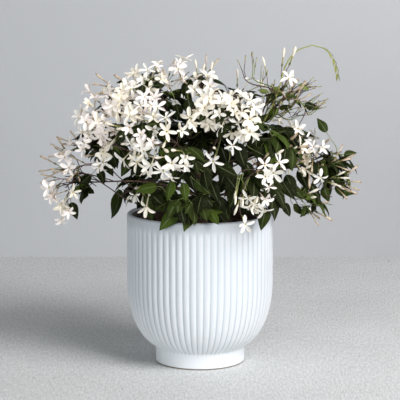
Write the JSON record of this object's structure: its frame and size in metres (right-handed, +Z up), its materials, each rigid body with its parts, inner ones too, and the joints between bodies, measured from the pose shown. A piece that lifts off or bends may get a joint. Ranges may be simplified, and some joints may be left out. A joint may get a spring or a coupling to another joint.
{
  "type": "potted jasmine",
  "caption": "Bushy flowering jasmine with white star-shaped blossoms and slim buds, in a nursery pot inside a ribbed pale ceramic planter with a plain foot.",
  "frame": {"origin": "middle of the planter's flat underside", "axes": "+Z up, -Y is the front of the plant, +X to the viewer's right"},
  "size_m": [0.3328, 0.2469, 0.3265],
  "materials": {
    "ceramic": "matte off-white glaze",
    "nursery_plastic": "terracotta-brown moulded plastic",
    "soil": "damp dark potting compost",
    "bark": "rough brown bark",
    "leaf": "dark green, faintly glossy leaf",
    "blossom": "soft white petal",
    "bud": "cream bud with a pink-brown flush",
    "young_shoot": "smooth yellow-green young stem"
  },
  "bodies": {
    "root": {"planter": "ceramic", "nursery_pot": "nursery_plastic", "soil": "soil", "trunk": "bark", "bough_left_low": "bark", "bough_left_middle": "bark", "bough_left_upper": "bark", "bough_top_left": "bark", "bough_top_middle": "bark", "bough_front_left": "bark", "bough_front_middle": "bark", "bough_centre_right": "bark", "bough_right_upper": "bark", "bough_right_inner": "bark", "bough_right_outer": "bark", "bough_right_low": "bark", "bough_front_right": "bark", "bough_front_low": "bark", "bough_front_low_left": "bark", "bough_heart": "bark", "bough_back_left": "bark", "bough_back_middle": "bark", "bough_back_right": "bark", "bough_back_top_left": "bark", "bough_back_top_right": "bark", "bough_back_low_left": "bark", "bough_back_low_right": "bark", "foliage_left_low": "leaf", "foliage_left_middle": "leaf", "foliage_left_upper": "leaf", "foliage_top_left": "leaf", "foliage_top_middle": "leaf", "foliage_front_left": "leaf", "foliage_front_middle": "leaf", "foliage_centre_right": "leaf", "foliage_right_upper": "leaf", "foliage_right_inner": "leaf", "foliage_right_outer": "leaf", "foliage_right_low": "leaf", "foliage_front_right": "leaf", "foliage_front_low": "leaf", "foliage_front_low_left": "leaf", "foliage_heart": "leaf", "foliage_back_left": "leaf", "foliage_back_middle": "leaf", "foliage_back_right": "leaf", "foliage_back_top_left": "leaf", "foliage_back_top_right": "leaf", "foliage_back_low_left": "leaf", "foliage_back_low_right": "leaf", "shoot_rise": "young_shoot", "shoot_fall": "young_shoot"}
  },
  "joints": []
}
